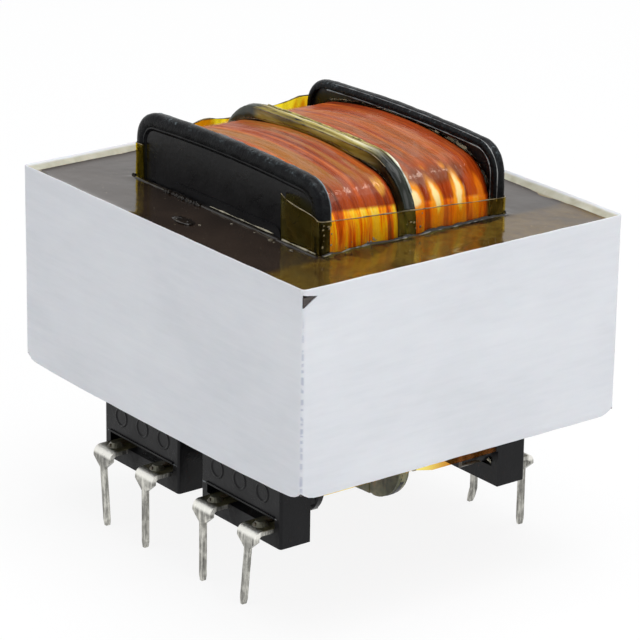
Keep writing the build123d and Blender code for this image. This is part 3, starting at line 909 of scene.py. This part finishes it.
def film_edge(side, front_flap, top_of, bow):
    """Line of a film's top edge."""
    line = []
    for x, y, nx, ny, kind in film_path(side, front_flap):
        top = top_of(x * side, y, kind)
        out = bow(x * side, y, kind, max(0.0, (top - FREE_FROM) / FREE_HEIGHT))
        line.append((x + nx * out, y + ny * out, top))
    return line


# Coats, threads and painted highlight lines on the flanges and the divider

def flange_ring(half_x, top_reach, low_reach, low_radius, top_radius):
    """Closed outline of a flange round the stack's middle, with outward directions."""
    crown, turn_steps, count = 0.55, 12, 44
    ring = []
    low_z, high_z = [reach - radius - crown * (1 - radius / half_x) ** 2
                     for reach, radius in ((low_reach, low_radius), (top_reach, top_radius))]
    for sx, sz, start in ((1, -1, -90), (1, 1, 0), (-1, 1, 90), (-1, -1, 180)):
        upper, lower = (top_radius, high_z, top_reach), (low_radius, low_z, low_reach)
        radius, corner_z, reach = upper if sz > 0 else lower
        corner_x = half_x - radius
        for i in range(turn_steps + 1):
            angle = radians(start + 90 * i / turn_steps)
            dx, dz = cos(angle), sin(angle)
            ring.append((sx * corner_x + radius * dx, sz * corner_z + radius * dz, dx, dz))
        for i in range(1, count):
            if start in (0, 180):
                x = sx * corner_x * (1 - 2 * i / count)
                ring.append((x, sz * (reach - crown * (x / half_x) ** 2), 0.0, float(sz)))
            else:
                share = i / count if sx > 0 else 1 - i / count
                ring.append((sx * half_x, (low_z + high_z) * share - low_z, float(sx), 0.0))
    return ring


def rim_coat(name, ring, section, wave, closed, material, slot):
    """Coat that follows a flange's rim: a section of places across and heights, swept along the ring."""
    rows = []
    for x, z, dx, dz in ring:
        row = []
        for y, grow in section:
            uneven = wave * noise_at(x, y, z, 0.55, 4.0) + 0.5 * wave * noise_at(x, y, z, 1.7, 9.0)
            out = grow + (uneven if grow > -1.0 else 0.0)
            if out > 0:
                out *= 0.25 + 0.75 * abs(dz)
            if z < -11.0:
                y, out = min(y, 0.33), min(out, 0.02)
            row.append((x + dx * out, y + 0.5 * uneven, CORE_MIDDLE + z + dz * out))
        rows.append(row)
    skin = grid_object(name, rows, close_rows=closed, close_columns=True)
    if not closed:
        fill_ends(skin)
    place(finished(skin, 50), material, slot)


def above_core(ring):
    """The part of a ring that stands above the core, from +X to -X."""
    high = [i for i, point in enumerate(ring) if point[1] > CORE_TOP - CORE_MIDDLE]
    return [ring[i] for i in range(high[0], high[-1] + 1)]


end_ring = above_core(flange_ring(15.63, 17.81, 17.81, 3.2, 3.2))
rim_section = [(-11.4, -1.75), (-11.52, -1.5), (-11.64, -1.2), (-11.69, -0.7), (-11.64, -0.32),
               (-11.5, -0.08), (-11.25, 0.05), (-10.95, 0.09), (-10.65, 0.05), (-10.42, -0.07),
               (-10.28, -0.25), (-10.24, -0.5), (-10.3, -0.74), (-10.5, -0.72), (-10.9, -0.6),
               (-11.2, -0.9), (-11.25, -1.6)]
rear_section = [(-y, grow) for y, grow in rim_section]
rim_coat("front_flange_rim", end_ring, rim_section, 0.05, False, RIM, "bobbin_plastic")
rim_coat("rear_flange_rim", end_ring, rear_section, 0.05, False, RIM, "bobbin_plastic")

divider_ring = flange_ring(15.43, 17.55, 19.0, 4.2, 6.5)
divider_section = [(-1.02, -1.2), (-1.02, -0.75), (-1.0, -0.35), (-0.96, -0.1), (-0.88, 0.02), (-0.8, 0.0),
                   (-0.72, -0.07), (-0.62, 0.0), (-0.45, 0.1), (-0.25, 0.15), (-0.05, 0.12), (0.12, 0.02),
                   (0.22, -0.04), (0.3, 0.02), (0.37, 0.0), (0.41, -0.15), (0.44, -0.6), (0.46, -1.2),
                   (0.2, -1.0), (0.2, -0.35), (-0.3, -0.2), (-0.8, -0.35), (-0.8, -1.0)]
rim_coat("divider_coat", divider_ring, divider_section, 0.07, True, DIVIDER, "amber_film")

low_ring = [point for point in divider_ring if point[1] < -14.3]
low_section = [(-1.0, 0.02), (-1.08, -0.4), (-1.1, -1.2), (-1.06, -2.4), (-1.02, -3.6), (-0.95, -3.6),
               (-0.95, 0.0)]
rim_coat("divider_low_film", low_ring, low_section, 0.06, False, DIVIDER, "amber_film")


def add_thread(name, points, radius, seed, material, slot):
    """Thin uneven thread through a line of points."""
    rows = []
    for i, point in enumerate(points):
        along = Vector(points[min(i + 1, len(points) - 1)]) - Vector(points[max(i - 1, 0)])
        lengthwise = abs(along.normalized().y) > 0.8
        across = along.cross(Vector((1.0, 0.2, 0.3) if lengthwise else (0.3, 1.0, 0.2))).normalized()
        other = along.cross(across).normalized()
        swell = 1 + 1.1 * noise_at(*point, 0.7, seed) + 0.5 * noise_at(*point, 2.3, seed + 4.0)
        size = radius * max(0.3, swell)
        rows.append([Vector(point) + across * size * cos(turn * pi / 3)
                     + other * size * sin(turn * pi / 3) for turn in range(6)])
    thread = grid_object(name, rows, close_columns=True)
    fill_ends(thread)
    place(finished(thread), material, slot)


def on_ring(ring, across, grow, low, high, lowest):
    """Places on a flange's ring between two values of X and above a height, at one place along the axis."""
    return [(x + dx * grow, across, CORE_MIDDLE + z + dz * grow) for x, z, dx, dz in above_core(ring)
            if low < x < high and CORE_MIDDLE + z > lowest]


right_edge = film_edge(1, WIDE_FLAP, right_top, right_bow)
left_edge = film_edge(-1, NARROW_FLAP, left_top, left_bow)
# Painted highlight lines along the varnish at the foot of the front flange and the flap
foot_highlight_left = [(-2.4 + 10.5 * i / 30, -11.67, 36.52) for i in range(31)]
foot_highlight_right = [(9.9 + 5.2 * i / 16, -11.86, 36.42) for i in range(17)]
for name, points, radius, seed, material, slot in (
        ("film_edge_right", right_edge, 0.05, 17.0, TAN_THREAD, "amber_film"),
        ("film_edge_left", left_edge, 0.07, 20.0, TAN_THREAD, "amber_film"),
        # Painted highlight lines on the rear flange's rounded edges
        ("rear_rim_highlight_line", on_ring(end_ring, 10.24, -0.78, -12.0, 20.0, 36.8), 0.06, 2.0, GREY_HIGHLIGHT_LINE,
         "clear_wrap"),
        ("rear_edge_highlight_line", on_ring(end_ring, 10.5, -0.02, -11.5, 20.0, 37.5), 0.05, 5.0, GREY_HIGHLIGHT_LINE,
         "clear_wrap"),
        # Bluish varnish wisps along the front rim, partly painted glints
        ("front_rim_wisp_and_glint", on_ring(end_ring, -10.33, -0.16, -13.5, 20.0, 39.0), 0.09, 8.0, BLUE_WISP_AND_GLINT,
         "clear_wrap"),
        # Yellow film edge on the divider, with a painted highlight that whitens it towards +X
        ("divider_rear_edge_and_highlight", on_ring(divider_ring, 0.36, 0.03, -9.5, 20.0, 39.6), 0.09, 11.0,
         YELLOW_EDGE_AND_HIGHLIGHT, "amber_film"),
        ("divider_front_thread", on_ring(divider_ring, -1.03, -0.12, -10.5, 12.5, 40.5), 0.06, 14.0,
         TAN_THREAD, "amber_film"),
        ("foot_highlight_line_left", foot_highlight_left, 0.07, 47.0, PALE_HIGHLIGHT_LINE, "clear_wrap"),
        ("foot_highlight_line_right", foot_highlight_right, 0.09, 49.0, PALE_HIGHLIGHT_LINE, "clear_wrap")):
    add_thread(name, points, radius, seed, material, slot)


def add_wisp(name, route, height, lean, seed):
    """Thin crumpled strip that stands on a route: its middle line, with directions up and out."""
    rows = []
    for x, y, z, dx, dz in route:
        row = []
        uneven = 0.7 * noise_at(x, y, z, 0.45, seed) + 0.5 * noise_at(x, y, z, 1.5, seed + 2.0)
        tall = height * (0.55 + uneven)
        for i in range(6):
            t = i / 5
            shift = lean * t + 0.35 * height * t * noise_at(x, t, z, 1.3, seed + 5.0)
            reach = max(0.05, tall) * t
            row.append((x + dx * reach, y + shift, z + dz * reach))
        rows.append(row)
    strip = grid_object(name, rows)
    thicken(strip, 0.05)
    place(finished(strip), WISP, "clear_wrap")


def crown_route(y, grow, low, high, seed):
    """Places on the coil's outline between two values of X, at one place along the axis."""
    route = []
    for x, z, dx, dz in whole_outline(grow):
        if z > 5.0 and low < x < high:
            wander = 0.12 * noise_at(x, 0, 0, 0.35, seed)
            route.append((x, y + wander, CORE_MIDDLE + z, dx, dz))
    finer = []
    for first, second in zip(route, route[1:]):
        for i in range(4):
            t = i / 4
            finer.append(tuple(a + (b - a) * t for a, b in zip(first, second)))
    return finer


add_wisp("rear_wrap_edge", crown_route(10.2, 0.12, -13.5, 14.6, 2.0), 0.34, 0.2, 3.0)
add_wisp("front_wrap_edge", crown_route(-10.15, 0.12, -14.0, 14.6, 6.0), 0.3, -0.1, 7.0)
add_wisp("middle_wrap_edge", crown_route(-1.15, 0.1, -13.6, 14.4, 9.0), 0.22, -0.1, 11.0)


# Edges, drops and bubbles of varnish

def add_drops(name, drops, seed, material, slot):
    """Group of flattened drops: middle, radii and lumpiness for each."""
    rings, sides = 8, 16
    points, faces = [], []
    for x, y, z, rx, ry, rz, lumpy in drops:
        base = len(points)
        points.append((x, y, z + rz))
        for i in range(1, rings):
            tilt = pi * i / rings
            for j in range(sides):
                turn = 2 * pi * j / sides
                dx, dy, dz = sin(tilt) * cos(turn), sin(tilt) * sin(turn), cos(tilt)
                lump = 1 + lumpy * noise_at(dx, dy, dz, 1.6, seed + x)
                points.append((x + rx * dx * lump, y + ry * dy * lump, z + rz * dz * lump))
        points.append((x, y, z - rz))
        last = len(points) - 1
        faces += grid_faces(rings - 1, sides, False, True, base + 1)
        for j in range(sides):
            following = (j + 1) % sides
            faces.append((base, base + 1 + j, base + 1 + following))
            faces.append((last - sides + following, last - sides + j, last))
    place(finished(make_object(name, points, faces)), material, slot)


def straight(start, end, direction, count):
    """Route of a varnish edge along a straight wall."""
    (x, y), (end_x, end_y) = start, end
    return [(x + (end_x - x) * i / count, y + (end_y - y) * i / count, *direction) for i in range(count + 1)]


def add_meniscus(name, route, height, reach, lumpy, seed, swell):
    """Edge of varnish at a wall's foot: hollow where it swells out, else a rounded bead."""
    rows = []
    for x, y, nx, ny in route:
        lump = 1 + lumpy * noise_at(x, y, 0, 0.7, seed) + 0.5 * lumpy * noise_at(x, y, 0, 2.2, seed + 3.0)
        tall, wide = height * max(0.25, lump), reach * max(0.25, lump)
        wide += swell * exp(-((y + 8.0) / 2.6) ** 2) * max(0.4, lump)
        row = []
        for i in range(9):
            angle = radians(90 * i / 8)
            out, rise = wide * cos(angle), tall * sin(angle)
            if swell:
                out, rise = wide * (1 - sin(angle)), tall * (1 - cos(angle))
            row.append((x + nx * out, y + ny * out, VARNISH_TOP - 0.03 + rise))
        row.append((x - nx * 0.1, y - ny * 0.1, VARNISH_TOP - 0.03 + tall))
        row.append((x - nx * 0.1, y - ny * 0.1, VARNISH_TOP - 0.08))
        row.append((x + nx * wide, y + ny * wide, VARNISH_TOP - 0.08))
        rows.append(row)
    edge = grid_object(name, rows, close_columns=True)
    fill_ends(edge)
    place(finished(edge), EDGE, "core_steel")


for label, start, end, direction, count, height, reach, lumpy, seed, swell in (
        ("front", (-15.3, -FLANGE_FACE), (9.3, -FLANGE_FACE), (0, -1), 120, 0.2, 0.34, 0.35, 2.0, 0.0),
        ("flap", (9.2, -FLAP_FACE), (15.5, -FLAP_FACE), (0, -1), 40, 0.2, 0.34, 0.3, 5.0, 0.0),
        ("right", (FILM_FACE, -11.6), (FILM_FACE, 11.6), (1, 0), 120, 0.3, 0.7, 0.75, 8.0, 1.7),
        ("left", (-FILM_FACE, 11.6), (-FILM_FACE, -11.6), (-1, 0), 90, 0.3, 0.45, 0.4, 12.0, 0.0),
        ("rear", (15.3, 11.7), (-15.3, 11.7), (0, 1), 120, 0.35, 0.4, 0.3, 15.0, 0.0)):
    route = straight(start, end, direction, count)
    add_meniscus(f"varnish_edge_{label}", route, height, reach, lumpy, seed, swell)

lumps = [(-9.6 + 0.62 * i, -11.95 + 0.12 * noise_at(i, 0, 0, 0.9, 4.0), VARNISH_TOP + 0.05,
          0.34, 0.3, 0.24, 0.5) for i in range(10)]
add_drops("varnish_lumps", lumps, 5.0, LUMP, "core_steel")

blob = [(-0.95, -16.0, VARNISH_TOP, 1.45, 0.75, 0.16, 0.45), (-1.7, -15.9, VARNISH_TOP, 0.6, 0.5, 0.2, 0.5),
        (0.1, -16.1, VARNISH_TOP, 0.5, 0.45, 0.2, 0.5)]
add_drops("varnish_blob", blob, 3.0, LUMP, "core_steel")

specks = [(9.4, -11.0, 0.14), (14.3, -11.8, 0.3), (14.2, -9.4, 0.12), (8.8, -12.5, 0.3), (9.5, -12.6, 0.14),
          (12.4, -12.7, 0.22), (1.0, -15.4, 0.16), (6.0, -12.4, 0.14), (2.5, -12.6, 0.16)]
bubbles = [(x, y, VARNISH_TOP - 0.03, radius, radius, radius * 0.5, 0.25) for x, y, radius in specks]
add_drops("varnish_bubbles", bubbles, 6.0, BEAD, "amber_film")

chance = random.Random(5)
glints = []
for y_low, y_high, z_low, z_high, amount in (
        (-11.7, -10.4, 37.2, 39.4, 9), (-1.3, 0.9, 37.0, 39.0, 8), (-9.5, -5.0, 36.6, 37.4, 8)):
    for _ in range(amount):
        size = chance.uniform(0.05, 0.16)
        glints.append((15.84, chance.uniform(y_low, y_high), chance.uniform(z_low, z_high),
                       0.04, size, size * chance.uniform(0.5, 1.2), 0.5))
add_drops("varnish_glints", glints, 9.0, TAN_THREAD, "amber_film")

# Hook of a lead wire, pale as a painted highlight
hook = [(12.6 + 1.75 * i / 14, 12.02, 9.12 + 0.16 * sin(pi * i / 14) - 0.22 * (i / 14) ** 2)
        for i in range(15)]
add_thread("lead_hook", hook, 0.17, 31.0, PALE_HIGHLIGHT_LINE, "lead_wire")


# Marks and painted highlight lines on the terminal blocks

def make_rings():
    """Shallow round marks on the faces of the terminal blocks."""
    points, faces = [], []
    across, along = 8, 28
    middle_z, ring_radius, tube_radius = 11.6, 0.95, 0.14
    for side in (-1, 1):
        for middle in (-12.3, -8.5, -4.7, 4.7, 8.5, 12.3):
            base = len(points)
            for i in range(along):
                turn = 2 * pi * i / along
                for j in range(across):
                    tilt = 2 * pi * j / across
                    reach = ring_radius + tube_radius * cos(tilt)
                    out = side * (BLOCK_FACE + 0.09 * sin(tilt))
                    points.append((middle + reach * cos(turn), out, middle_z + reach * sin(turn)))
            faces += grid_faces(along, across, True, True, base)
    return finished(make_object("block_marks", points, faces))


place(make_rings(), BLACK, "bobbin_plastic")

# Painted highlight lines along the ledge above each slot
for row, side in (("front", -1), ("rear", 1)):
    for end, block in (("left", -1), ("right", 1)):
        ledge_highlight = [(block * (2.3 + 12.4 * i / 60), side * BLOCK_FACE, 9.46) for i in range(61)]
        add_thread(f"ledge_{row}_{end}", ledge_highlight, 0.06, 23.0 + side, GREY_HIGHLIGHT_LINE, "bobbin_plastic")


# Stage, light and camera

def bare_tree(owner):
    """Empty node tree of a material or a world."""
    owner.use_nodes = True
    owner.node_tree.nodes.clear()
    return owner.node_tree


def seen_directly(tree, share):
    """Share for rays from the camera, or through gloss and clear matter."""
    path = tree.nodes.new("ShaderNodeLightPath")
    rays = path.outputs["Is Camera Ray"]
    for other in ("Is Glossy Ray", "Is Transmission Ray"):
        rays = math_step(tree, "MAXIMUM", rays, path.outputs[other])
    return math_step(tree, "MULTIPLY", rays, share)


def show_mix(tree, output, share, first, second):
    """Send a mix of two shaders to a tree's output."""
    mixed = add_node(tree, "MixShader", {0: share, 1: first, 2: second})
    tree.links.new(mixed, tree.nodes.new(output).inputs["Surface"])


def make_floor(size, white):
    """Pale floor that keeps the shadow."""
    corners = [(-size, -size, 0), (size, -size, 0), (size, size, 0), (-size, size, 0)]
    plane = make_object("floor", corners, [(0, 1, 2, 3)])
    material = bpy.data.materials.new("floor_white")
    tree = bare_tree(material)
    diffuse = add_node(tree, "BsdfDiffuse", {"Color": (0.86, 0.86, 0.86)})
    glow = add_node(tree, "Emission", {"Color": (1, 1, 1), "Strength": 1.0})
    show_mix(tree, "ShaderNodeOutputMaterial", seen_directly(tree, white), diffuse, glow)
    plane.data.materials.append(material)


def make_world(level):
    """White surroundings for the camera and gloss, softer light on the object."""
    world = bpy.data.worlds.new("studio")
    bpy.context.scene.world = world
    tree = bare_tree(world)
    light = add_node(tree, "Background", {"Color": (0.95, 0.97, 1.0), "Strength": level})
    seen = add_node(tree, "Background", {"Color": (1, 1, 1), "Strength": 1.0})
    show_mix(tree, "ShaderNodeOutputWorld", seen_directly(tree, 1.0), light, seen)


def make_lamp(name, position, size, power):
    """Soft square lamp that points at the object."""
    target = Vector((0, 0, 0.03))
    data = bpy.data.lights.new(name, "AREA")
    data.size = size
    data.energy = power
    lamp = add_object(name, data)
    lamp.location = position
    lamp.rotation_euler = (target - Vector(position)).to_track_quat("-Z", "Y").to_euler()


def make_camera():
    """Camera at the photograph's viewing angle."""
    azimuth, elevation, roll = radians(52.23), radians(19.933), radians(0.929)
    distance, shift_right, shift_up = 350.1, 0.562, 6.614
    target = Vector((0, 0, 15.68))
    back = Vector((sin(azimuth) * cos(elevation), -cos(azimuth) * cos(elevation), sin(elevation)))
    level = Vector((cos(azimuth), sin(azimuth), 0))
    upright = level.cross(-back)
    right = level * cos(roll) + upright * sin(roll)
    up = upright * cos(roll) - level * sin(roll)
    position = (target + back * distance + right * shift_right + up * shift_up) * MM
    data = bpy.data.cameras.new("camera")
    data.lens = 190.15
    data.sensor_width = 36.0
    camera = add_object("camera", data)
    camera.matrix_world = Matrix(((right.x, up.x, back.x, position.x), (right.y, up.y, back.y, position.y),
                                  (right.z, up.z, back.z, position.z), (0, 0, 0, 1)))
    bpy.context.scene.camera = camera


make_floor(1600, 0.88)
make_world(0.5)
make_lamp("lamp_top", (0.05, 0.05, 0.55), 0.45, 2.4)
make_lamp("lamp_right", (0.5, 0.05, 0.25), 0.35, 0.75)
make_lamp("lamp_left", (-0.1, -0.55, 0.25), 0.35, 0.45)
make_camera()
bpy.context.scene.view_settings.view_transform = "Standard"
